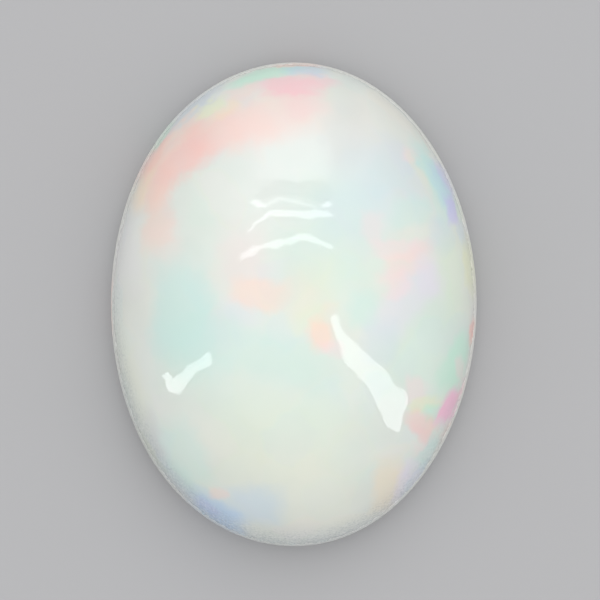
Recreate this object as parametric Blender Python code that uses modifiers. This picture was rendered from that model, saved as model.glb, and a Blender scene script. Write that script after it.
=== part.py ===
# Oval opal cabochon: one stone, cut by hand, with a high domed top, a slim
# girdle that leans in a little, a bevelled back edge and a flat back.
#
# Metres. +Z runs from the flat back up through the top of the dome, +Y lies
# along the oval's long axis, and the origin is the centre of the flat back.

import math

import bmesh
import bpy

# Driving dimensions
LENGTH = 0.0160
WIDTH = 0.0121
HEIGHT = 0.0056
GIRDLE_TOP = 0.0013
GIRDLE_LEAN = 0.00013
BACK_BEVEL = 0.0004
CORNER_RADIUS = 0.00006

# The dome is the top of an ellipsoid, cut off this far above its equator, so
# that it meets the girdle a few degrees short of upright.
SPRING_ANGLE = math.radians(8)

# How the hand-cut outline departs from a true ellipse, as shares of the
# radius: fuller between the axes, and a little flatter on the left flank.
SHOULDER_FULLNESS = 0.0023
LOPSIDED_THREE = 0.0012
LOPSIDED_THREE_AT = math.radians(26)
LOPSIDED_FIVE = 0.0015

# Facets of the solid: steps round the outline, and rings on the whole ellipsoid.
OUTLINE_STEPS = 96
ELLIPSOID_RINGS = 48
CORNER_SEGMENTS = 2
SHARPEST_SMOOTH_ANGLE = math.radians(30)

MILKY_WHITE = (0.80, 0.82, 0.74, 1.0)
POLISH_ROUGHNESS = 0.08
OPAL_IOR = 1.45


def clear_scene():
    for old in list(bpy.data.objects):
        bpy.data.objects.remove(old)


def opal_material():
    material = bpy.data.materials.new("milky_opal")
    material.use_nodes = True
    shader = material.node_tree.nodes["Principled BSDF"]
    shader.inputs["Base Color"].default_value = MILKY_WHITE
    shader.inputs["Roughness"].default_value = POLISH_ROUGHNESS
    shader.inputs["Metallic"].default_value = 0.0
    shader.inputs["IOR"].default_value = OPAL_IOR
    material.diffuse_color = MILKY_WHITE
    return material


def add_dome(mesh):
    """The cap of the ellipsoid, standing on the girdle's top. Returns its rim edges."""
    half_width = (WIDTH / 2 - GIRDLE_LEAN) / math.cos(SPRING_ANGLE)
    half_length = (LENGTH / 2 - GIRDLE_LEAN) / math.cos(SPRING_ANGLE)
    half_height = (HEIGHT - GIRDLE_TOP) / (1 - math.sin(SPRING_ANGLE))
    equator = GIRDLE_TOP - half_height * math.sin(SPRING_ANGLE)
    bmesh.ops.create_uvsphere(
        mesh, u_segments=OUTLINE_STEPS, v_segments=ELLIPSOID_RINGS, radius=1.0
    )
    bmesh.ops.scale(mesh, vec=(half_width, half_length, half_height), verts=mesh.verts)
    bmesh.ops.translate(mesh, vec=(0, 0, equator), verts=mesh.verts)
    bmesh.ops.bisect_plane(
        mesh,
        geom=mesh.verts[:] + mesh.edges[:] + mesh.faces[:],
        plane_co=(0, 0, GIRDLE_TOP),
        plane_no=(0, 0, 1),
        clear_inner=True,
    )
    return [edge for edge in mesh.edges if edge.is_boundary]


def extrude_rim(mesh, rim, height, inset_from, inset_to):
    """Draws the rim down to a height, from one inset inside the widest outline to another."""
    drawn = bmesh.ops.extrude_edge_only(mesh, edges=rim)["geom"]
    lower = [part for part in drawn if isinstance(part, bmesh.types.BMVert)]
    grow_x = (WIDTH / 2 - inset_to) / (WIDTH / 2 - inset_from)
    grow_y = (LENGTH / 2 - inset_to) / (LENGTH / 2 - inset_from)
    for corner in lower:
        corner.co.x *= grow_x
        corner.co.y *= grow_y
        corner.co.z = height
    return [part for part in drawn if isinstance(part, bmesh.types.BMEdge)]


def hand_cut(angle):
    """The outline's radius at this angle round the oval, as a share of the ellipse's."""
    return (
        1
        - SHOULDER_FULLNESS * math.cos(4 * angle)
        + LOPSIDED_THREE * math.cos(3 * angle - LOPSIDED_THREE_AT)
        + LOPSIDED_FIVE * math.cos(5 * angle)
    )


def cut_by_hand(mesh):
    """Gives every level of the stone the hand-cut outline, and centres it again."""
    for corner in mesh.verts:
        angle = math.atan2(corner.co.y / LENGTH, corner.co.x / WIDTH)
        share = hand_cut(angle)
        corner.co.x *= share
        corner.co.y *= share
    for axis in (0, 1):
        places = [corner.co[axis] for corner in mesh.verts]
        middle = (min(places) + max(places)) / 2
        for corner in mesh.verts:
            corner.co[axis] -= middle


def opal_mesh():
    mesh = bmesh.new()
    rim = add_dome(mesh)
    rim = extrude_rim(mesh, rim, BACK_BEVEL, GIRDLE_LEAN, 0)
    rim = extrude_rim(mesh, rim, 0, 0, BACK_BEVEL)
    bmesh.ops.contextual_create(mesh, geom=rim)
    cut_by_hand(mesh)
    bmesh.ops.recalc_face_normals(mesh, faces=mesh.faces)
    data = bpy.data.meshes.new("opal")
    mesh.to_mesh(data)
    mesh.free()
    data.shade_smooth()
    data.set_sharp_from_angle(angle=SHARPEST_SMOOTH_ANGLE)
    return data


def make_opal(collection):
    stone = bpy.data.objects.new("opal", opal_mesh())
    stone.data.materials.append(opal_material())
    collection.objects.link(stone)
    corners = stone.modifiers.new("softened_corners", "BEVEL")
    corners.width = CORNER_RADIUS
    corners.segments = CORNER_SEGMENTS
    corners.limit_method = "ANGLE"
    corners.angle_limit = SHARPEST_SMOOTH_ANGLE
    return stone


def main():
    clear_scene()
    cabochon = bpy.data.collections.new("opal_cabochon")
    bpy.context.scene.collection.children.link(cabochon)
    make_opal(cabochon)


main()
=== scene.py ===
# %% [markdown]
# # An oval opal cabochon
#
# A cabochon is a stone that is ground to a smooth dome on top and left flat underneath, with no facets.
# This one is white precious opal: a milky body with soft patches of pastel colour all through it.
# The lesson turns the stone from an arc, gives it the small faults of handwork, builds its colours
# from shader nodes, and lights it so that the dome shows the same glints as the real stone.
#
# The stone's overall size isn't decided here. It comes from a measured model, the frame, and the
# finished stone takes that model's place.

# %% Load the measured frame
import math
from typing import NamedTuple

import bpy
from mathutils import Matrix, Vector


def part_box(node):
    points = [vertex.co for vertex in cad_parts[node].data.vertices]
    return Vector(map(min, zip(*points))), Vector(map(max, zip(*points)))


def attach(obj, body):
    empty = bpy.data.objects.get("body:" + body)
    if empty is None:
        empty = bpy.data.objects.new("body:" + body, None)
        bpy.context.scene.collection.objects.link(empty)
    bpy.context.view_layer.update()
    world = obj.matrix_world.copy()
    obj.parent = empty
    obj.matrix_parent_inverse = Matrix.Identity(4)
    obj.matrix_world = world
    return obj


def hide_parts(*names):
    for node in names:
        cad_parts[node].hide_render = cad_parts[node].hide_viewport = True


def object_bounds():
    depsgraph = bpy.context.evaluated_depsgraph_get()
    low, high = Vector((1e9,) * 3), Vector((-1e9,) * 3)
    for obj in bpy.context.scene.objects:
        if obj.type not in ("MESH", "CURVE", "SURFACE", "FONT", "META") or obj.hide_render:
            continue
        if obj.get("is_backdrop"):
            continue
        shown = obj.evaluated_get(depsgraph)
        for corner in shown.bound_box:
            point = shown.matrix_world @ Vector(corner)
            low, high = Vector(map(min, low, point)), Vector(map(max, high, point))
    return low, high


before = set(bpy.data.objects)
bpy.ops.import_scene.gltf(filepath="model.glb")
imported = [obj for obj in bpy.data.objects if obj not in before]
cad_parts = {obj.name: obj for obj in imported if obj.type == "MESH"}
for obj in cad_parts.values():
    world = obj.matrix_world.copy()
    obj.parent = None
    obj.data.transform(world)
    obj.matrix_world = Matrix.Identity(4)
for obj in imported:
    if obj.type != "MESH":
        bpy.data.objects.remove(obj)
cad_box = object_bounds()
print("the frame holds", sorted(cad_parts))

# %% [markdown]
# ## The sizes of the stone
#
# A cutter thinks of a cabochon in four levels. From the bottom up they are the flat back, a narrow bevel
# that keeps the back's edge from chipping, the girdle (the band that a setting would grip), and the dome.
# The outer sizes are read from the frame, so they can't drift from it. The heights of the levels are the
# cutter's own, and are given here in metres.

# %% The sizes of the stone
MM = 0.001
low_corner, high_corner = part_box("opal")
WIDTH = high_corner.x - low_corner.x
LENGTH = high_corner.y - low_corner.y
HEIGHT = high_corner.z - low_corner.z
GIRDLE_TOP = 1.3 * MM
GIRDLE_LEAN = 0.13 * MM
BACK_BEVEL = 0.4 * MM
CORNER_RADIUS = 0.06 * MM

# The dome is the top of an ellipsoid that is cut a little above its equator, so that it meets the girdle
# at this many degrees short of upright.
SPRING_ANGLE = math.radians(8)
HALF_WIDTH = (WIDTH / 2 - GIRDLE_LEAN) / math.cos(SPRING_ANGLE)
HALF_LENGTH = (LENGTH / 2 - GIRDLE_LEAN) / math.cos(SPRING_ANGLE)
HALF_HEIGHT = (HEIGHT - GIRDLE_TOP) / (1 - math.sin(SPRING_ANGLE))
EQUATOR = GIRDLE_TOP - HALF_HEIGHT * math.sin(SPRING_ANGLE)
print(f"the stone is {LENGTH / MM:.2f} by {WIDTH / MM:.2f} by {HEIGHT / MM:.2f} mm")

# %% [markdown]
# ## The dome
#
# The real dome was ground on a wheel, turning all the time, which is why it comes out close to an
# ellipsoid. It could be a subdivided cage, but a cage pulls in a little as it is smoothed and ripples in a
# mirror finish. So it is turned here as well: a quarter of an ellipse is spun through a quarter turn, that
# quarter of the dome is mirrored twice, and the round dome is stretched to an oval. It gets many narrow
# steps round the outline, because small chips are cut into the girdle later and need points to move.

# %% The dome: an arc, turned, mirrored and stretched
OUTLINE_STEPS = 600
ARC_STEPS = 80
SAME_POINT = 0.0005 * MM
CUT_TOLERANCE = 0.0001 * MM


def editing(stone, choose):
    """Goes into edit mode on the stone, with only the edges that choose() likes selected."""
    bpy.ops.object.mode_set(mode="EDIT")
    bpy.ops.mesh.select_mode(type="EDGE")
    bpy.ops.mesh.select_all(action="DESELECT")
    bpy.ops.object.mode_set(mode="OBJECT")
    corners = stone.data.vertices
    for edge in stone.data.edges:
        edge.select = all(choose(corners[i].co) for i in edge.vertices)
    bpy.ops.object.mode_set(mode="EDIT")


bpy.ops.object.select_all(action="DESELECT")
bpy.ops.mesh.primitive_circle_add(
    vertices=4 * ARC_STEPS,
    radius=HALF_WIDTH,
    location=(0, 0, EQUATOR),
    rotation=(math.radians(90), 0, 0),
)
stone = bpy.context.object
stone.name = "opal_stone"
bpy.ops.object.transform_apply(location=True, rotation=True, scale=True)
bpy.ops.object.mode_set(mode="EDIT")
bpy.ops.mesh.select_mode(type="EDGE")
bpy.ops.transform.resize(value=(1, 1, HALF_HEIGHT / HALF_WIDTH), center_override=(0, 0, EQUATOR))
for height, facing in ((GIRDLE_TOP, (0, 0, 1)), (0, (1, 0, 0))):
    bpy.ops.mesh.select_all(action="SELECT")
    bpy.ops.mesh.bisect(plane_co=(0, 0, height), plane_no=facing, clear_inner=True, threshold=CUT_TOLERANCE)
bpy.ops.mesh.select_all(action="SELECT")
bpy.ops.mesh.spin(steps=OUTLINE_STEPS // 4, angle=math.radians(90), center=(0, 0, 0), axis=(0, 0, 1))
bpy.ops.mesh.select_all(action="SELECT")
bpy.ops.mesh.remove_doubles(threshold=SAME_POINT)
bpy.ops.transform.resize(value=(1, HALF_LENGTH / HALF_WIDTH, 1), center_override=(0, 0, 0))
bpy.ops.object.mode_set(mode="OBJECT")

mirror = stone.modifiers.new("other_quarters", "MIRROR")
mirror.use_axis = (True, True, False)
mirror.merge_threshold = SAME_POINT
bpy.ops.object.modifier_apply(modifier=mirror.name)
print("the dome has", len(stone.data.polygons), "faces")

# %% [markdown]
# ## The girdle, the bevel and the back
#
# The dome ends in an open rim. Extruding a rim and then scaling it is how a turned shape is drawn
# downwards by hand: each step is a new level of the stone. The girdle leans out as it goes down, so from
# straight above it shows as a thin ring round the dome. It is drawn in several steps, again to have
# points for the chips. The bevel turns in under it, and the back closes the shape: one face, inset twice
# and poked to its middle, so that no face there is a huge polygon. The mirrored quarters face both ways
# at first, so the normals are turned outwards at the end.

# %% The girdle, the bevel and the back
GIRDLE_STEPS = 8
BEVEL_STEPS = 3
BACK_RIM = 0.8 * MM
BACK_FIELD = 2.4 * MM


def draw_rim(from_level, to_level, steps):
    """Draws the selected rim down in even steps. A level is (height, inset inside the widest outline)."""
    for step in range(steps):
        start, stop = step / steps, (step + 1) / steps
        height = from_level[0] + (to_level[0] - from_level[0]) * stop
        drop = (to_level[0] - from_level[0]) / steps
        inset_was = from_level[1] + (to_level[1] - from_level[1]) * start
        inset_is = from_level[1] + (to_level[1] - from_level[1]) * stop
        bpy.ops.mesh.extrude_edges_move(TRANSFORM_OT_translate={"value": (0, 0, drop)})
        bpy.ops.transform.resize(
            value=(
                (WIDTH / 2 - inset_is) / (WIDTH / 2 - inset_was),
                (LENGTH / 2 - inset_is) / (LENGTH / 2 - inset_was),
                1,
            ),
            center_override=(0, 0, height),
        )


bpy.ops.object.mode_set(mode="EDIT")
bpy.ops.mesh.select_all(action="DESELECT")
bpy.ops.mesh.select_non_manifold()
draw_rim((GIRDLE_TOP, GIRDLE_LEAN), (BACK_BEVEL, 0), GIRDLE_STEPS)
draw_rim((BACK_BEVEL, 0), (0, BACK_BEVEL), BEVEL_STEPS)
bpy.ops.mesh.edge_face_add()
bpy.ops.mesh.select_mode(type="FACE")
bpy.ops.mesh.inset(thickness=BACK_RIM)
bpy.ops.mesh.inset(thickness=BACK_FIELD)
bpy.ops.mesh.poke()
bpy.ops.mesh.select_all(action="SELECT")
bpy.ops.mesh.normals_make_consistent(inside=False)
bpy.ops.object.mode_set(mode="OBJECT")
print("with girdle and back it has", len(stone.data.polygons), "faces")

# %% [markdown]
# ## Softened corners
#
# No edge on a polished stone is really sharp. Three rims run round this one: where the dome meets the
# girdle, where the girdle meets the bevel, and where the bevel meets the back. Each is a level loop, so it
# can be found by its height, and one bevel operator rounds all three.

# %% Softened corners
CORNER_SEGMENTS = 3
NEAR = 0.0005 * MM
NEAR_SHARE = 0.0005


def on_a_rim(point):
    """True on the three rims, which are the loops at the girdle's top, at its foot and round the back."""
    across = math.hypot(point.x / (WIDTH / 2 - BACK_BEVEL), point.y / (LENGTH / 2 - BACK_BEVEL))
    at_the_back = point.z < NEAR and across > 1 - NEAR_SHARE
    return at_the_back or min(abs(point.z - GIRDLE_TOP), abs(point.z - BACK_BEVEL)) < NEAR


editing(stone, on_a_rim)
bpy.ops.mesh.bevel(offset=CORNER_RADIUS, segments=CORNER_SEGMENTS, affect="EDGES")
bpy.ops.object.mode_set(mode="OBJECT")
print("with soft corners it has", len(stone.data.polygons), "faces")

# %% [markdown]
# ## An outline cut by hand
#
# A cutter grinds the outline to a drawn oval by eye. It ends up a shade fuller between the axes than a true
# ellipse, and a little flatter on one flank. Proportional editing could nudge it so, but a wave round the
# outline says the same thing exactly: each point moves along its own radius by a share that depends
# only on its angle. The outline has grown by a hair after that, so the stone is brought back to the
# frame's width and length.

# %% An outline cut by hand
SHOULDER_FULLNESS = 0.0023
LOPSIDED_THREE = 0.0012
LOPSIDED_THREE_AT = math.radians(26)
LOPSIDED_FIVE = 0.0015


def hand_cut(angle):
    """The outline's radius at this angle round the oval, as a share of the ellipse's."""
    return (
        1
        - SHOULDER_FULLNESS * math.cos(4 * angle)
        + LOPSIDED_THREE * math.cos(3 * angle - LOPSIDED_THREE_AT)
        + LOPSIDED_FIVE * math.cos(5 * angle)
    )


for corner in stone.data.vertices:
    share = hand_cut(math.atan2(corner.co.y / LENGTH, corner.co.x / WIDTH))
    corner.co.x *= share
    corner.co.y *= share
for axis, side in ((0, WIDTH), (1, LENGTH)):
    places = [corner.co[axis] for corner in stone.data.vertices]
    middle = (min(places) + max(places)) / 2
    grow = side / (max(places) - min(places))
    for corner in stone.data.vertices:
        corner.co[axis] = (corner.co[axis] - middle) * grow
print("the outline was brought back to size by", round(grow, 5))

# %% [markdown]
# ## Waves in the polish
#
# A dome polished by hand isn't a perfect mirror form. It keeps low waves, a few thousandths of a millimetre
# high and a millimetre or two long, with far finer ripples on them. They can't be seen as shape, but they
# bend every reflection: the glints on the real stone have kinked edges. Displace modifiers with cloud
# textures make both, and a vertex group keeps them off the girdle and the flat back.

# %% Waves in the polish
BROAD_WAVES = (1.7 * MM, 0.012 * MM)
FINE_RIPPLES = (0.35 * MM, 0.004 * MM)
CALM_BAND = 0.5 * MM


def vertex_group(name, weigh):
    """A vertex group whose weights come from a function of each point's place."""
    group = stone.vertex_groups.new(name=name)
    for corner in stone.data.vertices:
        weight = weigh(corner.co)
        if weight > 0:
            group.add([corner.index], weight, "REPLACE")


def displace(name, texture, group, strength, level):
    """Moves the points of a group along their normals by a texture in real units, and applies it."""
    push = stone.modifiers.new(name, "DISPLACE")
    push.texture = texture
    push.texture_coords = "LOCAL"
    push.vertex_group = group
    push.strength = strength
    push.mid_level = level
    before = [corner.co.copy() for corner in stone.data.vertices]
    bpy.ops.object.modifier_apply(modifier=name)
    moved = max((corner.co - old).length for corner, old in zip(stone.data.vertices, before))
    print(f"{name} moved the surface by {moved / MM:.4f} mm at most")


vertex_group("dome", lambda point: min(max((point.z - GIRDLE_TOP) / CALM_BAND, 0), 1))
for name, (wave_length, wave_height) in (("broad_waves", BROAD_WAVES), ("fine_ripples", FINE_RIPPLES)):
    waves = bpy.data.textures.new(name, "CLOUDS")
    waves.noise_scale = wave_length
    waves.noise_depth = 0
    displace(name, waves, "dome", wave_height, 0.5)

# %% [markdown]
# ## Nibbles along the edge
#
# Opal is brittle, and the last grinding left tiny chips where the dome meets the girdle. They are a
# tenth of a millimetre long and catch the light as specks, mostly round the lower half of the stone.
# Another Displace does it, this time with a texture whose contrast is turned up until only its peaks are
# left: most of the edge stays whole, and the peaks become dents.

# %% Nibbles along the edge
NIBBLE_LENGTH = 0.16 * MM
NIBBLE_DEPTH = 0.05 * MM
NIBBLE_BAND = 0.16 * MM
NIBBLE_CONTRAST = 4.0
NIBBLE_LEVEL = 0.72
WORN_SIDE = Vector((0.25, -1.0)).normalized()
LEAST_WEAR = 0.35
WEAR_REACH = 0.4


def edge_wear(point):
    """How chipped the girdle's upper edge is at this place: most on the worn side, little on the other."""
    nearness = 1 - abs(point.z - GIRDLE_TOP) / NIBBLE_BAND
    facing = Vector((point.x / WIDTH, point.y / LENGTH)).normalized().dot(WORN_SIDE)
    return max(nearness, 0) * (LEAST_WEAR + (1 - LEAST_WEAR) * min(max(facing + WEAR_REACH, 0), 1))


vertex_group("girdle_edge", edge_wear)
nibbles = bpy.data.textures.new("nibbles", "CLOUDS")
nibbles.noise_scale = NIBBLE_LENGTH
nibbles.noise_depth = 1
nibbles.contrast = NIBBLE_CONTRAST
nibbles.intensity = NIBBLE_LEVEL
displace("nibbles", nibbles, "girdle_edge", -NIBBLE_DEPTH, 0.0)

# %% [markdown]
# ## Smooth shading
#
# Shading smooth everywhere would smear light round the corners, and shading flat would show the facets.
# Smooth by angle keeps both honest: faces that meet at less than the angle blend, and sharper edges stay.

# %% Smooth shading
SHARPEST_SMOOTH_ANGLE = math.radians(35)

bpy.ops.object.select_all(action="DESELECT")
stone.select_set(True)
bpy.context.view_layer.objects.active = stone
bpy.ops.object.shade_smooth_by_angle(angle=SHARPEST_SMOOTH_ANGLE)
stone.vertex_groups.clear()
print("the stone has", sum(len(face.vertices) - 2 for face in stone.data.polygons), "triangles")

# %% [markdown]
# ## How colour sits in opal
#
# Opal is made of tiny glass balls stacked in order, and each region of neat stacking sends back one colour.
# So the colour isn't a coat of paint. It is a patch of the stone's own volume, and the surface
# cuts through it. That is easy to say in shader nodes: every patch is a soft blob in space, with a centre
# and a reach on each axis, and the colour of the surface is whatever blob it passes through. The sides then
# carry on what the top shows, with no seam.
#
# All the patches are the same few nodes with other numbers, so those nodes become a node group. Object
# coordinates are in metres, and a Mapping node turns them into millimetres first.

# %% Helpers for shader nodes


def add_node(tree, kind, label, **settings):
    """A shader node with a label and its own settings."""
    node = tree.nodes.new(kind)
    node.label = label
    for setting, value in settings.items():
        setattr(node, setting, value)
    return node


def feed(tree, socket, source):
    """Links a socket to another one, or sets it to a plain value."""
    if isinstance(source, bpy.types.NodeSocket):
        tree.links.new(source, socket)
    else:
        socket.default_value = source


def reckon(tree, kind, operation, label, *sources):
    """A Math or Vector Math node on one to three sources. Returns its first output in use."""
    node = add_node(tree, kind, label, operation=operation)
    for socket, source in zip(node.inputs, sources):
        feed(tree, socket, source)
    return next(output for output in node.outputs if output.enabled)


def maths(tree, operation, label, *sources):
    return reckon(tree, "ShaderNodeMath", operation, label, *sources)


def vectors(tree, operation, label, *sources):
    return reckon(tree, "ShaderNodeVectorMath", operation, label, *sources)


def ramp(tree, label, source, from_low, from_high, to_low, to_high):
    """A smooth step from one value to another."""
    node = add_node(tree, "ShaderNodeMapRange", label, interpolation_type="SMOOTHSTEP")
    for name, value in (
        ("Value", source),
        ("From Min", from_low),
        ("From Max", from_high),
        ("To Min", to_low),
        ("To Max", to_high),
    ):
        feed(tree, node.inputs[name], value)
    return node.outputs["Result"]


def mix_values(tree, label, share, one, other):
    """Goes from one number to another as the share rises from 0 to 1."""
    node = add_node(tree, "ShaderNodeMix", label, data_type="FLOAT")
    feed(tree, node.inputs["Factor"], share)
    feed(tree, node.inputs[2], one)
    feed(tree, node.inputs[3], other)
    return node.outputs[0]


def mix_colours(tree, label, share, under, over, blend="MIX"):
    """One colour over another."""
    node = add_node(tree, "ShaderNodeMix", label, data_type="RGBA", blend_type=blend)
    feed(tree, node.inputs["Factor"], share)
    feed(tree, node.inputs[6], under)
    feed(tree, node.inputs[7], over)
    return node.outputs[2]


# %% A node group for one patch of colour


def make_patch_group():
    """Mixes one soft patch of colour over what is under it."""
    group = bpy.data.node_groups.new("colour_patch", "ShaderNodeTree")
    for name, kind in (
        ("Under", "NodeSocketColor"),
        ("Colour", "NodeSocketColor"),
        ("Place", "NodeSocketVector"),
        ("Centre", "NodeSocketVector"),
        ("Reach", "NodeSocketVector"),
        ("Turn", "NodeSocketFloat"),
        ("Strength", "NodeSocketFloat"),
        ("Full Inside", "NodeSocketFloat"),
        ("Gone Outside", "NodeSocketFloat"),
        ("Corners", "NodeSocketFloat"),
    ):
        group.interface.new_socket(name=name, in_out="INPUT", socket_type=kind)
    group.interface.new_socket(name="Colour", in_out="OUTPUT", socket_type="NodeSocketColor")
    given = add_node(group, "NodeGroupInput", "what the patch is told").outputs
    result = add_node(group, "NodeGroupOutput", "the colour with the patch in it")

    away = vectors(group, "SUBTRACT", "from the centre", given["Place"], given["Centre"])
    turned = add_node(group, "ShaderNodeVectorRotate", "along its length", rotation_type="Z_AXIS")
    turned.invert = True
    feed(group, turned.inputs["Vector"], away)
    feed(group, turned.inputs["Angle"], given["Turn"])
    shares = vectors(group, "DIVIDE", "in shares of its reach", turned.outputs[0], given["Reach"])

    # A round blob adds up the squares of its three axes and takes the root. With eighth powers in place
    # of squares the longest axis outweighs the others, and the blob turns into a box with soft corners.
    round_distance = vectors(group, "LENGTH", "round distance", shares)
    squares = vectors(group, "MULTIPLY", "squares", shares, shares)
    fourths = vectors(group, "MULTIPLY", "fourth powers", squares, squares)
    eighths = vectors(group, "DOT_PRODUCT", "sum of eighth powers", fourths, fourths)
    boxy_distance = maths(group, "POWER", "boxy distance", eighths, 1 / 8)
    distance = mix_values(group, "how boxy", given["Corners"], round_distance, boxy_distance)

    edge = (given["Full Inside"], given["Gone Outside"])
    share = ramp(group, "its soft edge", distance, *edge, 1.0, 0.0)
    strength = maths(group, "MULTIPLY", "its strength", share, given["Strength"])
    colour = mix_colours(group, "over what is under", strength, given["Under"], given["Colour"])
    feed(group, result.inputs[0], colour)
    return group


patch_group = make_patch_group()
print("the patch group has", len(patch_group.nodes), "nodes")

# %% [markdown]
# ## The palette
#
# The play of colour runs through the rainbow, but milk in the stone washes it out, so every colour is a
# pastel. A short palette keeps them of one family, and each patch says only how strongly its colour shows.

# %% The palette
MILK = (0.77, 0.80, 0.75, 1.0)
FROST = (0.82, 0.85, 0.83, 1.0)
BEIGE = (0.86, 0.77, 0.70, 1.0)
SALMON = (0.95, 0.70, 0.65, 1.0)
CORAL = (1.0, 0.56, 0.50, 1.0)
ROSE = (1.0, 0.52, 0.61, 1.0)
PINK = (0.93, 0.71, 0.73, 1.0)
MAGENTA = (0.98, 0.42, 0.68, 1.0)
PEACH = (0.98, 0.70, 0.58, 1.0)
AMBER = (0.93, 0.76, 0.56, 1.0)
LEMON = (0.80, 0.84, 0.58, 1.0)
LIME = (0.71, 0.84, 0.67, 1.0)
MINT = (0.58, 0.85, 0.71, 1.0)
AQUA = (0.60, 0.83, 0.77, 1.0)
TURQUOISE = (0.53, 0.81, 0.77, 1.0)
SKY = (0.50, 0.67, 0.88, 1.0)
VIOLET = (0.64, 0.56, 0.92, 1.0)
MAUVE = (0.79, 0.74, 0.85, 1.0)
DUSK = (0.64, 0.65, 0.66, 1.0)
STEEL = (0.57, 0.65, 0.76, 1.0)

# %% [markdown]
# ## Where the colours lie
#
# The patches are laid one by one, as an enameller would lay them: wide, faint washes first, then the clear
# flashes on top. Places and half sizes are in millimetres as seen from above, with x to the right and y up
# from the stone's centre. A patch on the dome takes its height from the dome itself, and reaches far enough
# down to show on the girdle too. A few of the strongest at the rim are kept shallower, so that the side of
# the stone doesn't turn into stripes.

# %% Wide washes under the flashes


class Patch(NamedTuple):
    """A patch of colour: its centre and half sizes in millimetres seen from above, and its look."""

    name: str
    colour: tuple
    at: tuple
    reach: tuple
    strength: float
    turn: float = 0
    softness: float = 0.5
    corners: float = 0.3
    depth: float = 3.0


def patches(*rows):
    """The patches of one part of the stone. A row holds a patch's values in the order given above."""
    return [Patch(*row) for row in rows]


WASHES = patches(
    ("bright field at the top", FROST, (0.0, 4.5), (2.4, 1.7), 0.45, 0, 0.6),
    ("dull strip right of the field", DUSK, (1.6, 5.4), (0.6, 1.1), 0.3, -8, 0.6),
    ("warm shoulder", BEIGE, (3.2, 5.6), (1.5, 1.0), 0.25, -40, 0.6),
    ("cool shoulder", SKY, (3.1, 4.2), (1.4, 1.2), 0.2, -20, 0.6),
    ("aqua heart", AQUA, (1.2, 2.6), (1.5, 1.8), 0.34, -10, 0.6),
    ("green under the heart", LIME, (0.8, 1.7), (1.5, 1.0), 0.08, 0, 0.6),
    ("blue in the heart", SKY, (1.9, 2.9), (1.1, 1.0), 0.15, 0, 0.6),
    ("pale green by the bars", MINT, (-2.6, 2.8), (1.1, 1.4), 0.1, 0, 0.6),
    ("pale left flank", MAUVE, (-5.4, 1.8), (0.5, 1.3), 0.25, 5, 0.6),
    ("mint field", AQUA, (-1.6, -2.0), (3.6, 1.9), 0.24, -10, 0.6),
    ("mint right flank", MINT, (4.0, -1.2), (1.3, 1.6), 0.30, 0, 0.6),
    ("green lower field", LIME, (-0.9, -4.3), (3.0, 2.3), 0.14, 0, 0.6),
    ("lemon in the lower field", LEMON, (-0.2, -4.4), (2.2, 1.3), 0.16, -10, 0.6),
    ("warm foot", BEIGE, (0.9, -6.1), (2.2, 1.5), 0.15, 0, 0.6),
    ("lemon in the foot", LEMON, (1.1, -6.2), (2.2, 1.3), 0.08, 0, 0.6),
    ("cool spot in the lower field", AQUA, (1.9, -4.9), (0.8, 0.8), 0.18, 0, 0.6),
    # Painted light: this wash makes the lower left flank paler, as light falling there would.
    ("pale left edge", FROST, (-5.0, -2.4), (0.8, 1.8), 0.3, 14, 0.6),
    ("lemon in the left edge", LEMON, (-5.3, -2.6), (0.5, 2.0), 0.2, 12, 0.6),
    ("dull strip low on the left", DUSK, (-4.45, -4.3), (0.32, 0.9), 0.32, 15, 0.6),
)

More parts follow.
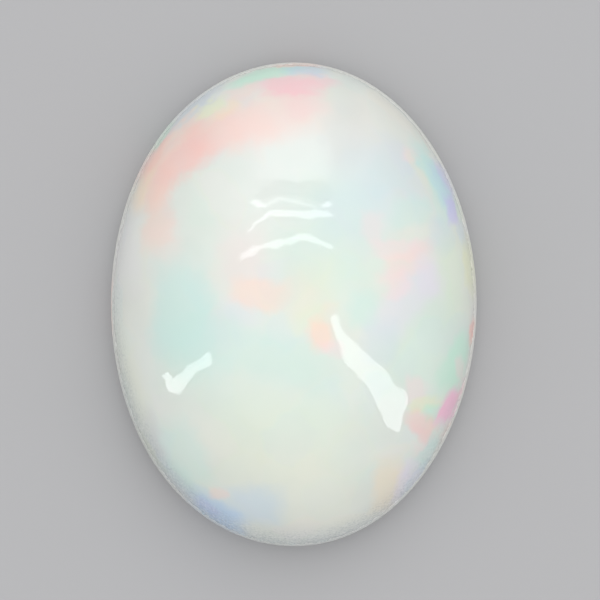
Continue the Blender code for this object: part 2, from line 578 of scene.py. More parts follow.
# %% Flashes along the top
RIM_DEPTH = 1.6
TOP_FLASHES = patches(
    ("coral band, low end", PEACH, (-4.45, 3.9), (1.0, 0.5), 0.45, 62, 0.5, 0.5),
    ("coral band, middle", CORAL, (-3.6, 4.66), (1.15, 0.54), 0.52, 44, 0.5, 0.6),
    ("coral step", CORAL, (-3.0, 4.4), (0.45, 0.18), 0.22, 20, 0.5, 0.6),
    ("pointed corner of the coral", CORAL, (-3.2, 5.85), (0.45, 0.25), 0.3, 44, 0.5, 0.5),
    ("coral band, high end", CORAL, (-2.55, 5.45), (1.1, 0.6), 0.42, 28, 0.55, 0.6),
    ("salmon link", SALMON, (-1.5, 5.58), (1.0, 0.72), 0.52, 20, 0.55, 0.5),
    ("coral tail", CORAL, (-4.4, 2.85), (0.42, 1.1), 0.27, -3, 0.5, 0.6),
    ("amber outside the coral", AMBER, (-4.85, 3.95), (0.9, 0.25), 0.45, 66, 0.5, 0.4),
    ("coral rim", CORAL, (-4.52, 4.9), (1.05, 0.32), 0.6, 54, 0.5, 0.4, RIM_DEPTH),
    ("peach inside the coral rim", PEACH, (-3.95, 5.1), (0.7, 0.25), 0.3, 50, 0.5, 0.5),
    ("amber over the coral", AMBER, (-2.3, 6.25), (0.5, 0.25), 0.45, 30, 0.5, 0.4),
    ("pink end of the tail", SALMON, (-4.25, 2.0), (0.5, 0.6), 0.2, 0, 0.6, 0.6),
    ("salmon field", SALMON, (-0.4, 6.15), (1.35, 0.8), 0.48, 8, 0.5, 0.5),
    ("rose crest", ROSE, (-0.15, 7.0), (1.05, 0.27), 0.5, -3, 0.5, 0.5),
    ("salmon before the crest", SALMON, (-1.75, 6.85), (0.5, 0.25), 0.4, 18, 0.5, 0.5),
    ("rose in the salmon", ROSE, (0.35, 6.45), (0.6, 0.5), 0.18, 0, 0.6, 0.6),
    ("mint sliver at the top", MINT, (-0.9, 7.42), (1.2, 0.24), 0.8, 14, 0.4, 0.3),
    ("blue at the very top", SKY, (0.4, 7.5), (0.7, 0.2), 0.45, 0, 0.5, 0.4),
    ("coral line at the very top", CORAL, (0.2, 7.8), (0.9, 0.15), 0.5, 0, 0.5, 0.3),
    ("rose right of the top", ROSE, (0.95, 7.15), (0.5, 0.2), 0.3, -14, 0.6, 0.4),
    ("lime sliver", LEMON, (-2.72, 6.4), (0.5, 0.17), 0.5, 38, 0.4, 0.3),
    ("steel sliver", STEEL, (-3.3, 6.4), (1.2, 0.26), 0.5, 43, 0.5, 0.3),
    ("green sliver", MINT, (-4.3, 5.5), (0.6, 0.2), 0.72, 52, 0.4, 0.3),
    ("pink speck", PINK, (3.75, 4.85), (0.3, 0.3), 0.35, 0, 0.5, 0.6),
    ("lemon inside the teal", LEMON, (4.0, 4.4), (0.8, 0.2), 0.22, -63, 0.5, 0.4),
)

# %% Flashes on the left and in the middle
MIDDLE_FLASHES = patches(
    ("turquoise pool", TURQUOISE, (-3.6, -0.3), (0.9, 1.4), 0.48, 0, 0.4, 0.7),
    ("teal over the pool", AQUA, (-3.6, 1.3), (0.9, 0.6), 0.12, 0, 0.6, 0.5),
    ("turquoise under the pool", AQUA, (-3.2, -1.4), (1.1, 0.9), 0.30, 0, 0.6, 0.5),
    ("aqua sweep", AQUA, (-0.9, -1.6), (2.2, 0.75), 0.3, -16, 0.6, 0.4),
    ("teal end of the sweep", AQUA, (-2.5, -0.4), (0.7, 0.5), 0.14, -30, 0.6, 0.4),
    ("mauve over the sweep", MAUVE, (-1.7, -0.15), (0.6, 0.35), 0.22, 0, 0.6, 0.5),
    ("steel beside the pool", STEEL, (-2.2, -0.7), (0.6, 0.6), 0.1, 0, 0.6, 0.5),
    ("pink veil", PINK, (-1.6, 1.4), (0.75, 1.1), 0.28, 0, 0.6, 0.5),
    ("peach patch", PEACH, (-1.15, 0.35), (0.87, 0.44), 0.42, -5, 0.4, 0.7),
    ("lemon veil", LEMON, (0.6, 0.5), (0.85, 0.85), 0.26, 0, 0.65, 0.4),
    ("warm middle", PEACH, (0.2, 0.2), (0.5, 0.6), 0.1, 0, 0.6, 0.4),
    ("warm tip of the streak", PEACH, (1.25, -0.2), (0.3, 0.3), 0.22, 0, 0.6, 0.4),
    ("lemon by the spot", LEMON, (0.6, -0.5), (0.55, 0.4), 0.3, 0, 0.6, 0.5),
    ("orange spot", PEACH, (0.88, -1.0), (0.4, 0.44), 0.62, 0, 0.5, 0.6),
    ("pink under the spot", PINK, (1.18, -1.4), (0.4, 0.2), 0.4, 0, 0.6, 0.5),
    ("mint veil", MINT, (1.95, 0.4), (0.75, 0.95), 0.22, 0, 0.6, 0.5),
    ("teal tile", AQUA, (2.3, -0.15), (0.42, 0.6), 0.42, 0, 0.5, 0.7),
    ("red glint on the left edge", CORAL, (-5.95, 0.05), (0.14, 0.9), 0.5, 0, 0.5, 0.3, RIM_DEPTH),
)

# %% Flashes on the right
RIGHT_FLASHES = patches(
    ("small pink tile", PINK, (2.45, 2.5), (0.3, 0.5), 0.28, 0, 0.5, 0.7),
    ("green tile", AQUA, (3.65, 2.95), (0.7, 0.45), 0.36, 0, 0.4, 0.6),
    ("lavender veil", MAUVE, (3.6, 0.1), (1.35, 0.6), 0.46, 53, 0.55, 0.5),
    ("pink sail, top", PINK, (3.4, 1.75), (0.98, 0.36), 0.37, -3, 0.35, 0.8),
    ("pink sail, middle", SALMON, (3.5, 1.25), (0.7, 0.45), 0.38, 15, 0.45, 0.7),
    ("pink sail, point", PINK, (3.25, 0.65), (0.42, 0.45), 0.4, 15, 0.5, 0.6),
    ("lavender right of the sail", MAUVE, (4.35, 0.8), (0.4, 0.65), 0.4, 0, 0.6, 0.5),
    ("rose corner of the sail", ROSE, (4.1, 1.85), (0.3, 0.25), 0.08, 0, 0.6, 0.6),
    ("blue by the lavender", SKY, (2.8, -1.3), (0.5, 0.7), 0.15, 0, 0.5, 0.6),
    ("teal edge", TURQUOISE, (4.5, 4.25), (1.2, 0.28), 0.65, -63, 0.5, 0.4),
    ("blue edge", SKY, (4.87, 3.75), (0.9, 0.3), 0.48, -70, 0.5, 0.4),
    ("violet along the blue edge", VIOLET, (4.98, 4.1), (0.7, 0.15), 0.3, -66, 0.5, 0.4),
    ("violet spot", VIOLET, (5.1, 3.08), (0.2, 0.42), 0.55, 10, 0.5, 0.5, RIM_DEPTH),
    ("aqua beside the violet", AQUA, (4.65, 3.35), (0.25, 0.8), 0.4, 8, 0.5, 0.5),
    ("green rim by the violet", LIME, (5.36, 3.1), (0.4, 0.12), 0.5, -72, 0.5, 0.4),
    ("blue rim by the violet", SKY, (5.5, 2.3), (0.5, 0.12), 0.25, -72, 0.5, 0.4),
    ("blue under the violet", SKY, (4.75, 2.3), (0.4, 0.6), 0.25, 0, 0.5, 0.5),
    ("lime inside the edge", LIME, (5.1, 0.9), (0.5, 1.4), 0.5, 4, 0.6, 0.4),
    ("lemon edge", LEMON, (5.8, 1.2), (0.25, 0.9), 0.7, 6, 0.5, 0.4),
    ("green edge", MINT, (5.25, -1.95), (0.95, 0.44), 0.8, 66, 0.5, 0.4, RIM_DEPTH),
    ("red glint on the right edge", CORAL, (5.83, -0.9), (0.14, 0.42), 0.75, -5, 0.5, 0.3, RIM_DEPTH),
    ("pink glint by the green", PINK, (5.4, -2.1), (0.16, 0.3), 0.4, 0, 0.5, 0.5),
    ("dusty pink", PINK, (3.98, -2.75), (0.4, 0.35), 0.4, 0, 0.45, 0.6),
    ("lime tile", LEMON, (4.25, -3.15), (0.45, 0.26), 0.5, 10, 0.35, 0.7),
    ("magenta flash", MAGENTA, (5.03, -3.36), (0.66, 0.29), 0.62, 57, 0.5, 0.5, RIM_DEPTH),
    ("rose rim over the magenta", ROSE, (5.5, -2.72), (0.4, 0.14), 0.4, 66, 0.5, 0.4, RIM_DEPTH),
    ("coral rim under the magenta", CORAL, (4.95, -4.25), (0.5, 0.12), 0.35, 57, 0.5, 0.4, RIM_DEPTH),
    ("green tile by the magenta", MINT, (4.5, -3.5), (0.2, 0.32), 0.6, 0, 0.4, 0.6),
    ("coral flash", CORAL, (4.2, -3.88), (0.6, 0.34), 0.38, -55, 0.5, 0.6),
    ("pink under the coral", PINK, (4.2, -4.8), (0.3, 0.3), 0.3, 0, 0.6, 0.5),
    ("aqua beside the coral", AQUA, (4.65, -4.4), (0.6, 0.24), 0.25, 57, 0.5, 0.5),
    ("pink side of the coral", ROSE, (4.2, -4.2), (0.45, 0.2), 0.14, -55, 0.6, 0.6),
)

# %% Flashes along the foot of the oval
FOOT_FLASHES = patches(
    ("teal edge at the foot", TURQUOISE, (4.35, -4.9), (0.6, 0.24), 0.4, 52, 0.5, 0.4),
    # Painted shade: this patch makes the rim darker and bluer on the right of the foot.
    ("steel rim on the right of the foot", SKY, (3.9, -5.75), (0.7, 0.15), 0.35, 50, 0.5, 0.4),
    ("lavender by the teal", MAUVE, (3.75, -5.5), (0.35, 0.4), 0.45, 30, 0.5, 0.4),
    ("amber flash", AMBER, (2.95, -5.95), (0.85, 0.4), 0.42, 80, 0.45, 0.7),
    ("mauve beside the amber", MAUVE, (3.42, -5.95), (0.6, 0.2), 0.55, 72, 0.5, 0.5),
    ("mint on the left", AQUA, (-3.4, -4.8), (0.6, 1.2), 0.4, 20, 0.5, 0.5),
    ("lemon edge at the foot", LEMON, (-4.55, -4.95), (0.9, 0.15), 0.3, -57, 0.5, 0.3),
    ("teal above the blue", TURQUOISE, (-3.7, -5.6), (0.8, 0.35), 0.25, -50, 0.6, 0.4),
    ("blue flash", SKY, (-2.55, -6.74), (0.95, 0.45), 0.75, -33, 0.55, 0.5),
    ("violet in the blue", VIOLET, (-2.85, -6.65), (0.45, 0.25), 0.22, -33, 0.5, 0.5),
    ("steel rim by the blue", STEEL, (-3.75, -5.85), (0.9, 0.25), 0.22, -47, 0.5, 0.4),
    ("blue rim under the flash", SKY, (-2.55, -7.1), (0.9, 0.2), 0.45, -30, 0.5, 0.4),
    ("steel flash", SKY, (-1.35, -6.5), (0.9, 0.6), 0.36, -5, 0.6, 0.6),
    ("peach spot over the blue", SALMON, (-2.4, -6.05), (0.3, 0.2), 0.36, 0, 0.4, 0.6),
)

# %% [markdown]
# ## The back
#
# The photograph shows nothing of the back, so its colours are free. On a real stone they carry on from the
# dome's, and the flat cut shows them as larger, calmer patches. A small depth keeps each of them near the
# back, so that none of it comes through the girdle.

# %% Patches on the back
BACK_DEPTH = 0.7
BACK_PATCHES = patches(
    ("back, aqua field", AQUA, (-2.2, 2.4), (2.2, 2.0), 0.45, 20, 0.6, 0.4, BACK_DEPTH),
    ("back, peach field", PEACH, (1.9, 4.3), (1.6, 1.2), 0.5, -25, 0.5, 0.5, BACK_DEPTH),
    ("back, rose tile", ROSE, (2.9, 2.5), (0.8, 0.5), 0.5, 10, 0.35, 0.7, BACK_DEPTH),
    ("back, green field", LIME, (1.6, -1.4), (2.4, 1.6), 0.45, 15, 0.6, 0.4, BACK_DEPTH),
    ("back, mint tile", MINT, (-0.6, -0.4), (0.9, 0.6), 0.5, -30, 0.35, 0.7, BACK_DEPTH),
    ("back, sky field", SKY, (-2.5, -3.4), (1.5, 1.5), 0.35, 0, 0.5, 0.5, BACK_DEPTH),
    ("back, violet tile", VIOLET, (-1.6, -4.8), (0.6, 0.4), 0.4, 35, 0.4, 0.7, BACK_DEPTH),
    ("back, lemon field", LEMON, (1.4, -5.2), (1.5, 0.9), 0.5, -10, 0.5, 0.5, BACK_DEPTH),
    ("back, coral tile", CORAL, (-3.6, -0.2), (0.5, 0.9), 0.45, 15, 0.4, 0.6, BACK_DEPTH),
)

# %% [markdown]
# ## Ragged edges
#
# If the patches were mixed as they are, they would look like what they are: neat ovals. In the stone the
# stacking gives out raggedly. Shifting the place that a patch reads, by a slow noise and a quick one,
# bends every edge at once.

# %% Start the stone's material and its ragged coordinates
SLOW_SCALE, SLOW_SHIFT = 0.45, 0.9
QUICK_SCALE, QUICK_SHIFT = 2.4, 0.34

opal = bpy.data.materials.new("milky_opal_ground")
opal.use_nodes = True
tree = opal.node_tree
shader = tree.nodes["Principled BSDF"]


def noise(label, place, scale, detail=2.0):
    """A noise texture read at a place in millimetres."""
    node = add_node(tree, "ShaderNodeTexNoise", label)
    feed(tree, node.inputs["Vector"], place)
    feed(tree, node.inputs["Scale"], scale)
    feed(tree, node.inputs["Detail"], detail)
    return node


def shifted(label, place, scale, shift):
    """The place, moved to and fro by a noise. Grey noise, at one half, moves nothing."""
    sway = vectors(tree, "SUBTRACT", label, noise(label, place, scale).outputs["Color"], (0.5, 0.5, 0.5))
    return vectors(tree, "MULTIPLY_ADD", label, sway, (shift, shift, shift), place)


metres = add_node(tree, "ShaderNodeTexCoord", "place in metres").outputs["Object"]
to_mm = add_node(tree, "ShaderNodeMapping", "place in millimetres")
feed(tree, to_mm.inputs["Scale"], (1 / MM, 1 / MM, 1 / MM))
feed(tree, to_mm.inputs["Vector"], metres)
place = to_mm.outputs[0]
ragged = shifted("slow shift", place, SLOW_SCALE, SLOW_SHIFT)
ragged = shifted("quick shift", ragged, QUICK_SCALE, QUICK_SHIFT)

# %% [markdown]
# ## Lay the colours
#
# The chain starts with milk, gets a faint mosaic, because even the quiet parts of an opal are made of
# small regions, and then takes each patch in turn.

# %% Lay the colours
THIN_MILK = (0.745, 0.78, 0.735, 1.0)
THICK_MILK = (0.795, 0.82, 0.775, 1.0)
CLOUD_SCALE = 0.4
MOSAIC_SCALE = 0.75
MOSAIC_SOFTNESS = 0.35
MOSAIC_STRENGTH = 0.10


def dome_height(x, y):
    """The height of the dome over a place, all in millimetres."""
    across = (x * MM / HALF_WIDTH) ** 2 + (y * MM / HALF_LENGTH) ** 2
    return (EQUATOR + HALF_HEIGHT * math.sqrt(max(1 - across, 0))) / MM


def lay(patch, height, under):
    """Adds one patch to the chain of colours, at a height in millimetres."""
    node = add_node(tree, "ShaderNodeGroup", patch.name, node_tree=patch_group)
    for name, value in (
        ("Under", under),
        ("Colour", patch.colour),
        ("Place", ragged),
        ("Centre", (*patch.at, height)),
        ("Reach", (*patch.reach, patch.depth)),
        ("Turn", math.radians(patch.turn)),
        ("Strength", patch.strength),
        ("Full Inside", 1 - patch.softness),
        ("Gone Outside", 1 + patch.softness),
        ("Corners", patch.corners),
    ):
        feed(tree, node.inputs[name], value)
    return node.outputs[0]


cells = add_node(tree, "ShaderNodeTexVoronoi", "small regions", feature="SMOOTH_F1")
feed(tree, cells.inputs["Vector"], ragged)
feed(tree, cells.inputs["Scale"], MOSAIC_SCALE)
feed(tree, cells.inputs["Smoothness"], MOSAIC_SOFTNESS)
tints = add_node(tree, "ShaderNodeSeparateColor", "one number for each region")
feed(tree, tints.inputs[0], cells.outputs["Color"])
mosaic = add_node(tree, "ShaderNodeValToRGB", "tints of the regions")
stops = mosaic.color_ramp.elements
stops[0].position, stops[0].color = 0.0, PINK
stops[1].position, stops[1].color = 1.0, SKY
for position, tint in ((0.3, LEMON), (0.5, MILK), (0.7, MINT)):
    stops.new(position).color = tint
feed(tree, mosaic.inputs[0], tints.outputs[0])
cloudiness = noise("clouds in the milk", ragged, CLOUD_SCALE).outputs[0]
clouds = ramp(tree, "clouds", cloudiness, 0.3, 0.7, 0.0, 1.0)
milk = mix_colours(tree, "thin and thick milk", clouds, THIN_MILK, THICK_MILK)
colour = mix_colours(tree, "mosaic in the milk", MOSAIC_STRENGTH, milk, mosaic.outputs[0])

dome_patches = WASHES + TOP_FLASHES + MIDDLE_FLASHES + RIGHT_FLASHES + FOOT_FLASHES
for patch in dome_patches:
    colour = lay(patch, dome_height(*patch.at), colour)
for patch in BACK_PATCHES:
    colour = lay(patch, 0.0, colour)
print("the stone has", len(dome_patches) + len(BACK_PATCHES), "patches of colour")

# %% [markdown]
# ## Painted shade at the rim
#
# The dome runs out thin at its rim. The rim is painted darker and blue grey there, most of all along the
# lower
# side: this is painted shade. Two ramps say where: one rises over the last tenth of the way out to the rim,
# the other towards the lower side. The tint is multiplied in and not mixed in, so that a flash at the rim
# gets darker and keeps its hue.

# %% Painted shade at the rim
# The tint below is painted shade: multiplied in, it darkens the rim to blue grey, most of all on the lower
# side.
RIM_SHADE_TINT = (0.65, 0.70, 0.77, 1.0)
RIM_SHADE_STRENGTH = 0.8
RIM_SHADE_FROM, RIM_SHADE_TO = 0.88, 1.02
SHADED_SIDE = Vector((-0.35, -1.0, 0.0)).normalized()
SIDE_FROM, SIDE_TO = 0.1, 1.0

outline_shares = (2 * MM / WIDTH, 2 * MM / LENGTH, 0.0)
outwards = vectors(tree, "MULTIPLY", "in shares of the outline", place, outline_shares)
distance_out = vectors(tree, "LENGTH", "how far out", outwards)
towards_shaded_side = vectors(tree, "DOT_PRODUCT", "how far to the shaded side", outwards, SHADED_SIDE)
near_rim = ramp(tree, "only near the rim", distance_out, RIM_SHADE_FROM, RIM_SHADE_TO, 0.0, RIM_SHADE_STRENGTH)
on_shaded_side = ramp(tree, "mostly below", towards_shaded_side, SIDE_FROM, SIDE_TO, 0.0, 1.0)
rim_shade = maths(tree, "MULTIPLY", "how much painted shade", near_rim, on_shaded_side)
# Painted shade: the rim is darkened here.
colour = mix_colours(tree, "painted rim shade", rim_shade, colour, RIM_SHADE_TINT, "MULTIPLY")

# %% [markdown]
# ## Pits that the polish missed, painted as shade and glints
#
# A polishing wheel reaches the crown of a dome more easily than its foot. Round the lower half of this stone
# the last polish stopped a little short of the rim, and the pits of the grit before it are still there, a
# few hundredths of a millimetre wide. They are painted as fine specks: the dark ones are painted shade in
# the pits, the pale ones painted glints on them. One fine noise gives both kinds, its peaks the dark ones
# and its hollows the pale ones, and two ramps keep them to a narrow band.

# %% Pits that the polish missed: painted shade and glints
PIT_SCALE = 13.0
PIT_SHADE_GREY = (0.36, 0.40, 0.44, 1.0)
PIT_GLINT_WHITE = (0.93, 0.93, 0.91, 1.0)
PIT_SHADE_STRENGTH, PIT_GLINT_STRENGTH = 0.5, 0.45
PITS_FROM, PITS_TO = 0.895, 0.985
PIT_SIDE_FROM, PIT_SIDE_TO = -0.1, 0.6

pits = noise("pits", place, PIT_SCALE, 1.0).outputs[0]
close_to_rim = ramp(tree, "close to the rim", distance_out, PITS_FROM, PITS_TO, 0.0, 1.0)
lower_half = ramp(tree, "lower half", towards_shaded_side, PIT_SIDE_FROM, PIT_SIDE_TO, 0.0, 1.0)
pit_band = maths(tree, "MULTIPLY", "where there are pits", close_to_rim, lower_half)
# Dark specks are painted shade in the pits, pale specks are painted glints on them.
for label, pit_colour, hollow, full, strength in (
    ("painted shade in the pits", PIT_SHADE_GREY, 0.54, 0.68, PIT_SHADE_STRENGTH),
    ("painted glints on the pits", PIT_GLINT_WHITE, 0.46, 0.32, PIT_GLINT_STRENGTH),
):
    depth = ramp(tree, label, pits, hollow, full, 0.0, strength)
    colour = mix_colours(tree, label, maths(tree, "MULTIPLY", label, depth, pit_band), colour, pit_colour)

# %% [markdown]
# ## Polish and satin
#
# The dome is polished like glass. The girdle and the back were only ground fine, so they are satin: rougher,
# a little whiter, and with a grain of tiny pits. One set of nodes does both, with a mask by height that
# changes just under the girdle's upper edge. Only the grain's bump is kept to the ground faces: they get
# the material as it is, and the dome gets a copy with no bump, because light that comes out of a milky
# surface is reckoned twice wherever a bump is plugged in.

# %% Polish and satin
POLISHED = 0.02
SATIN = 0.42
SATIN_WHITE = (0.86, 0.86, 0.81, 1.0)
SATIN_WHITENING = 0.4
GRAIN_SCALE = 9.0
GRAIN_HEIGHT = 0.012 * MM
GRAIN_STRENGTH = 0.7
POLISH_LINE_SCALE = 3.0
POLISH_LINE_SWAY = 0.12

spread = add_node(tree, "ShaderNodeSeparateXYZ", "height on the stone")
feed(tree, spread.inputs[0], place)
wobble = noise("uneven polish line", place, POLISH_LINE_SCALE).outputs[0]
height = maths(tree, "MULTIPLY_ADD", "uneven height", wobble, POLISH_LINE_SWAY, spread.outputs[2])
girdle_mm = GIRDLE_TOP / MM
satin = ramp(tree, "satin below the dome", height, girdle_mm - 0.02, girdle_mm + 0.06, 1.0, 0.0)
grain = noise("ground grain", place, GRAIN_SCALE, 3.0).outputs[0]

whiten = maths(tree, "MULTIPLY", "whiter where ground", satin, SATIN_WHITENING)
colour = mix_colours(tree, "satin white", whiten, colour, SATIN_WHITE)
feed(tree, shader.inputs["Base Color"], colour)

ground_roughness = ramp(tree, "pits in the satin", grain, 0.3, 0.7, SATIN - 0.08, SATIN + 0.1)
roughness = mix_values(tree, "polished or satin", satin, POLISHED, ground_roughness)
feed(tree, shader.inputs["Roughness"], roughness)

bump = add_node(tree, "ShaderNodeBump", "grain of the satin")
feed(tree, bump.inputs["Height"], maths(tree, "MULTIPLY", "grain only where ground", grain, satin))
feed(tree, bump.inputs["Distance"], GRAIN_HEIGHT)
feed(tree, bump.inputs["Strength"], GRAIN_STRENGTH)
feed(tree, shader.inputs["Normal"], bump.outputs[0])

# %% [markdown]
# ## Milk inside
#
# Light goes a little way into opal before it comes back, which softens the edges of the patches and lets
# the rim glow. Subsurface scattering does that. Its radius has to be a real distance, here half a
# millimetre, because a stone this small would turn to wax with the values used for skin.

# %% Milk inside
OPAL_IOR = 1.45
MILKINESS = 0.5
MILK_DEPTH = 0.5 * MM

shader.inputs["IOR"].default_value = OPAL_IOR
shader.inputs["Subsurface Weight"].default_value = MILKINESS
shader.inputs["Subsurface Radius"].default_value = (1.0, 1.0, 1.0)
shader.inputs["Subsurface Scale"].default_value = MILK_DEPTH

polished_opal = opal.copy()
polished_opal.name = "milky_opal_polished"
polished_opal.node_tree.nodes.remove(polished_opal.node_tree.nodes[bump.name])
stone.data.materials.clear()
stone.data.materials.append(polished_opal)
stone.data.materials.append(opal)
for face in stone.data.polygons:
    face.material_index = 1 if face.center.z < GIRDLE_TOP else 0
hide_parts("opal")
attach(stone, "root")
print("the material has", len(tree.nodes), "nodes")

# %% [markdown]
# ## The camera
#
# The stone was seen from straight above, from about a hand's width away. A camera that isn't turned
# already looks straight down, with y up in the picture. It hangs above the widest outline, a little to the
# side of the stone's centre, because the stone isn't quite in the middle of the picture. The lens is
# worked out from the width that the picture takes in at that level.

# %% The camera
PICTURE_SIDE = 600
OUTLINE_IN_PICTURE = 483.4
CENTRE_IN_PICTURE = (293.75, 304.3)
CAMERA_DISTANCE = 120 * MM
SENSOR = 36.0

pixel = LENGTH / OUTLINE_IN_PICTURE
camera_place = Vector(
    (
        (PICTURE_SIDE / 2 - CENTRE_IN_PICTURE[0]) * pixel,
        (CENTRE_IN_PICTURE[1] - PICTURE_SIDE / 2) * pixel,
        BACK_BEVEL + CAMERA_DISTANCE,
    )
)
camera = bpy.data.objects.new("camera", bpy.data.cameras.new("camera"))
camera.location = camera_place
camera.data.sensor_width = SENSOR
camera.data.lens = SENSOR * CAMERA_DISTANCE / (PICTURE_SIDE * pixel)
camera.data.clip_start = 0.01
camera.data.clip_end = 5.0
bpy.context.scene.collection.objects.link(camera)
bpy.context.scene.camera = camera
print(f"the lens is {camera.data.lens:.0f} mm, and a pixel is {pixel / MM:.4f} mm")

# %% [markdown]
# ## The table
#
# A wide, plain, pale grey surface, matt and a shade darker than the stone, so that the milky white
# stands out from it.

# %% The table
TABLE_SIDE = 4.0
TABLE_GREY = (0.45, 0.45, 0.46, 1.0)

bpy.ops.object.select_all(action="DESELECT")
bpy.ops.mesh.primitive_plane_add(size=TABLE_SIDE, location=(0, 0, 0))
table = bpy.context.object
table.name = "table"
matt = bpy.data.materials.new("matt_grey")
matt.use_nodes = True
matt_shader = matt.node_tree.nodes["Principled BSDF"]
matt_shader.inputs["Base Color"].default_value = TABLE_GREY
matt_shader.inputs["Roughness"].default_value = 0.9
matt_shader.inputs["Specular IOR Level"].default_value = 0.2
table.data.materials.append(matt)
table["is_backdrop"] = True

# %% [markdown]
# ## Soft light from all round
#
# A polished dome mirrors the whole room, so most of the light has to be even, or the dome fills
# with the shapes of lamps. The world gives it: brightest overhead and a little towards the top
# of the picture, dim towards the horizon, with no edges anywhere. That alone makes the rim fall off into
# shade as it should. A large, weak softbox beyond the top of the picture adds a side to the shadow on the
# table. Its own mirror image is switched off, because the glints are made one by one in the next step.

# %% Soft light from all round
SKY_TOWARDS = Vector((0.045, 0.13, 1.0)).normalized()
SKY_FOOT = -0.25
HORIZON_LIGHT = 0.5
OVERHEAD_LIGHT = 1.14
KEY_TOWARDS = Vector((0.2, 0.8, 1.0)).normalized()
KEY_DISTANCE = 0.6
KEY_SIDE = 0.4
KEY_SHARE = 0.125

world = bpy.data.worlds.new("studio")
world.use_nodes = True
bpy.context.scene.world = world
air = world.node_tree
direction = add_node(air, "ShaderNodeTexCoord", "direction").outputs["Generated"]
height_in_sky = vectors(air, "DOT_PRODUCT", "how near overhead", direction, SKY_TOWARDS)
glow = ramp(air, "from the horizon up", height_in_sky, SKY_FOOT, 1.0, HORIZON_LIGHT, OVERHEAD_LIGHT)
background = air.nodes["Background"]
feed(air, background.inputs["Strength"], glow)
feed(air, background.inputs["Color"], (1.0, 1.0, 1.0, 1.0))

bpy.ops.object.select_all(action="DESELECT")
bpy.ops.object.light_add(
    type="AREA",
    location=KEY_TOWARDS * KEY_DISTANCE,
    rotation=(-KEY_TOWARDS).to_track_quat("-Z", "Y").to_euler(),
)
softbox = bpy.context.object
softbox.name = "softbox"
softbox.data.size = KEY_SIDE
softbox.data.energy = KEY_SHARE * math.pi**2 * KEY_DISTANCE**2
softbox.visible_camera = False
softbox.visible_glossy = False
print(f"the softbox has {softbox.data.energy:.2f} W")

# %% [markdown]
# ## The glints
#
# The white marks on the dome are windows and lamps, mirrored and bent by its curve. To get a glint of a
# certain shape, work backwards. Take each corner of the glint on the dome, follow the line of sight to it,
# bounce it off the surface, and put a corner of a light panel where the bounced line ends. The
# panel comes out in an odd shape, but the dome bends it straight back. The camera can't see the panels.
# One panel is almost dark: it is the sill under the top window, and it hides the sky from the polish there.

# %% How the dome mirrors a point
PANEL_DISTANCE = 350 * MM
GLINT_TINT = (0.94, 0.98, 1.0, 1.0)


def on_the_dome(x, y):
    """The point of the dome over a place in millimetres, and the way the surface faces there."""
    point = Vector((x * MM, y * MM, dome_height(x, y) * MM))
    facing = Vector(
        (point.x / HALF_WIDTH**2, point.y / HALF_LENGTH**2, (point.z - EQUATOR) / HALF_HEIGHT**2)
    )
    return point, facing.normalized()


def mirrored(x, y):
    """Where a panel's corner has to be, so that its glint shows at this place on the dome."""
    point, facing = on_the_dome(x, y)
    sight = (point - camera_place).normalized()
    bounced = sight.reflect(facing)
    return point + bounced * PANEL_DISTANCE


def only_a_glint(panel, strength, fade=None):
    """Lets a panel glow, seen by nothing but the polish. Fade names an attribute that dims it."""
    for ray in ("camera", "diffuse", "transmission", "volume_scatter", "shadow"):
        setattr(panel, f"visible_{ray}", False)
    glowing = bpy.data.materials.new(panel.name)
    glowing.use_nodes = True
    nodes = glowing.node_tree
    nodes.nodes.clear()
    out = add_node(nodes, "ShaderNodeOutputMaterial", "out")
    lamp = add_node(nodes, "ShaderNodeEmission", "glow")
    feed(nodes, lamp.inputs["Color"], GLINT_TINT)
    feed(nodes, lamp.inputs["Strength"], strength)
    light = lamp.outputs[0]
    if fade:
        dimmer = add_node(nodes, "ShaderNodeAttribute", "how bright here", attribute_name=fade)
        level = maths(nodes, "MULTIPLY", "dimmed", dimmer.outputs["Fac"], strength)
        feed(nodes, lamp.inputs["Strength"], level)
        sky_behind = add_node(nodes, "ShaderNodeBsdfTransparent", "the sky behind it").outputs[0]
        both = add_node(nodes, "ShaderNodeAddShader", "glow over the sky")
        feed(nodes, both.inputs[0], light)
        feed(nodes, both.inputs[1], sky_behind)
        light = both.outputs[0]
    feed(nodes, out.inputs["Surface"], light)
    panel.data.materials.append(glowing)
    panel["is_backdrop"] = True
    print(panel.name, "spans", [round(side, 2) for side in panel.dimensions], "m")


def light_panel(name, outline, strength):
    """A glowing panel whose reflection fills this outline on the dome."""
    bpy.ops.object.select_all(action="DESELECT")
    bpy.ops.mesh.primitive_circle_add(vertices=len(outline), fill_type="NGON")
    panel = bpy.context.object
    panel.name = name
    for corner, (x, y) in zip(panel.data.vertices, outline):
        corner.co = mirrored(x, y)
    only_a_glint(panel, strength)


# %% The window on the right, the lamp on the left, and three bars at the top
WINDOW_GLINT = [
    (1.15, -0.39), (1.34, -0.39), (1.47, -0.57), (1.73, -0.96), (2.11, -1.42), (2.48, -1.71),
    (2.85, -2.03), (3.12, -2.32), (3.34, -2.59), (3.56, -2.71), (3.67, -2.84), (3.67, -3.16),
    (3.54, -3.43), (3.46, -3.86), (3.38, -4.13), (3.19, -4.10), (3.00, -3.88), (2.86, -3.63),
    (2.65, -3.25), (2.46, -2.82), (2.32, -2.50), (2.05, -2.24), (1.84, -2.05), (1.52, -1.65),
    (1.45, -1.23), (1.23, -0.91),
]
TICK_GLINT = [
    (-4.18, -2.12), (-4.02, -2.07), (-3.83, -2.28), (-3.55, -2.01), (-3.20, -1.74), (-2.93, -1.57),
    (-2.69, -1.44), (-2.57, -1.52), (-2.58, -1.76), (-2.83, -1.97), (-3.14, -2.11), (-3.23, -2.30),
    (-3.40, -2.54), (-3.75, -2.76), (-3.97, -2.74), (-4.08, -2.45), (-4.18, -2.23),
]
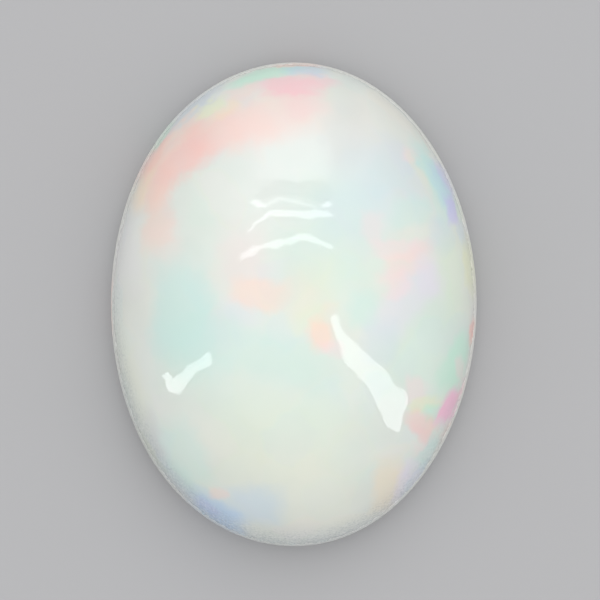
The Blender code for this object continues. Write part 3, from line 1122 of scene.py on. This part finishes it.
LOW_BAR_GLINT = [
    (-1.70, 1.42), (-1.65, 1.59), (-1.40, 1.74), (-1.06, 1.88), (-0.81, 1.99), (-0.54, 2.07),
    (-0.20, 2.08), (0.02, 2.12), (0.16, 2.17), (0.35, 2.15), (0.57, 2.05), (0.87, 1.89),
    (1.18, 1.73), (1.13, 1.65), (0.91, 1.75), (0.64, 1.88), (0.45, 1.95), (0.26, 1.95),
    (0.06, 1.90), (-0.13, 1.81), (-0.41, 1.80), (-0.75, 1.81), (-0.99, 1.69), (-1.31, 1.53),
    (-1.54, 1.39), (-1.67, 1.29),
]
MIDDLE_BAR_GLINT = [
    (-1.36, 2.36), (-1.20, 2.56), (-0.96, 2.75), (-0.80, 2.87), (-0.66, 2.97), (-0.31, 2.99),
    (0.05, 2.98), (0.47, 2.95), (0.58, 3.02), (0.88, 3.02), (1.08, 2.95), (1.29, 2.81),
    (1.26, 2.77), (1.00, 2.80), (0.78, 2.79), (0.52, 2.70), (0.21, 2.69), (-0.21, 2.78),
    (-0.66, 2.80), (-0.82, 2.69), (-1.00, 2.61), (-1.16, 2.46), (-1.29, 2.33),
]
HIGH_BAR_GLINT = [
    (-0.80, 3.18), (-0.67, 3.29), (-0.45, 3.35), (-0.06, 3.35), (0.21, 3.31), (0.47, 3.23),
    (0.74, 3.13), (0.84, 3.13), (0.84, 3.03), (0.73, 3.05), (0.47, 3.13), (0.21, 3.21),
    (-0.06, 3.25), (-0.43, 3.25), (-0.64, 3.14), (-0.80, 3.06),
]
LEFT_BEAD_GLINT = [
    (-1.28, 3.10), (-1.24, 3.24), (-1.05, 3.30), (-0.91, 3.21), (-0.78, 3.17), (-0.80, 3.06), (-1.06, 3.01),
]
RIGHT_BEAD_GLINT = [
    (0.86, 3.12), (0.97, 3.24), (1.06, 3.42), (1.15, 3.28), (1.29, 3.14), (1.14, 3.05), (1.00, 3.07),
]
DARK_SILL = [
    (-1.15, 3.42), (-0.95, 3.66), (-0.60, 3.84), (-0.08, 3.92), (0.30, 3.92), (0.75, 3.93),
    (1.10, 3.88), (1.24, 3.66), (1.18, 3.40), (0.95, 3.32), (0.60, 3.38), (0.30, 3.44),
    (-0.10, 3.46), (-0.50, 3.44), (-0.85, 3.36),
]

for name, outline, strength in (
    ("window_panel", WINDOW_GLINT, 5.3),
    ("tick_panel", TICK_GLINT, 5.8),
    ("low_bar_panel", LOW_BAR_GLINT, 5.2),
    ("middle_bar_panel", MIDDLE_BAR_GLINT, 5.2),
    ("high_bar_panel", HIGH_BAR_GLINT, 3.2),
    ("left_bead_panel", LEFT_BEAD_GLINT, 5.2),
    ("right_bead_panel", RIGHT_BEAD_GLINT, 5.5),
    ("dark_sill_panel", DARK_SILL, 0.15),
):
    light_panel(name, outline, strength)

# %% [markdown]
# ## A broad pale glow above the bars
#
# Above the three bars the dome also mirrors something large, pale and out of focus. Its glint has a clear
# lower edge, with two low waves in it, and dissolves upwards and to the sides. A grid of points does that:
# each point carries a number for how bright the panel is there, and the shader reads it as an attribute.

# %% The broad pale glow
GLOW_STRENGTH = 1.15
GLOW_LEFT, GLOW_RIGHT = -1.5, 1.3
GLOW_FOOT, GLOW_TOP = 3.9, 6.0
GLOW_STEPS = 24
FOOT_WAVE = 0.05


def ease(value, start, stop):
    """Rises smoothly from 0 to 1 as the value goes from start to stop."""
    share = min(max((value - start) / (stop - start), 0), 1)
    return share * share * (3 - 2 * share)


bpy.ops.object.select_all(action="DESELECT")
bpy.ops.mesh.primitive_grid_add(x_subdivisions=GLOW_STEPS, y_subdivisions=GLOW_STEPS, size=2)
pale_glow = bpy.context.object
pale_glow.name = "pale_glow_panel"
brightness = pale_glow.data.attributes.new("brightness", "FLOAT", "POINT")
for corner, level in zip(pale_glow.data.vertices, brightness.data):
    across, along = (corner.co.x + 1) / 2, (corner.co.y + 1) / 2
    x = GLOW_LEFT + (GLOW_RIGHT - GLOW_LEFT) * across
    y = GLOW_FOOT + (GLOW_TOP - GLOW_FOOT) * along + FOOT_WAVE * math.sin(9 * across) * (1 - along)
    corner.co = mirrored(x, y)
    sides = ease(across, 0, 0.3) * ease(across, 1, 0.93)
    level.value = sides * ease(along, 0, 0.07) * ease(along, 1, 0.3)
only_a_glint(pale_glow, GLOW_STRENGTH, "brightness")

# %% [markdown]
# ## Colour as the eye sees it
#
# The Standard view shows a colour as it was mixed. A film-like view would grey down a stone this pale.

# %% Colour management
bpy.context.scene.view_settings.view_transform = "Standard"

# %% [markdown]
# ## The sizes side by side
#
# The stone has to fill the frame's box and no more, so both boxes are written down side by side.

# %% The sizes side by side
new_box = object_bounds()
for name, box in (("frame", cad_box), ("stone", new_box)):
    print(name, [round(side / MM, 3) for side in box[1] - box[0]], "mm")
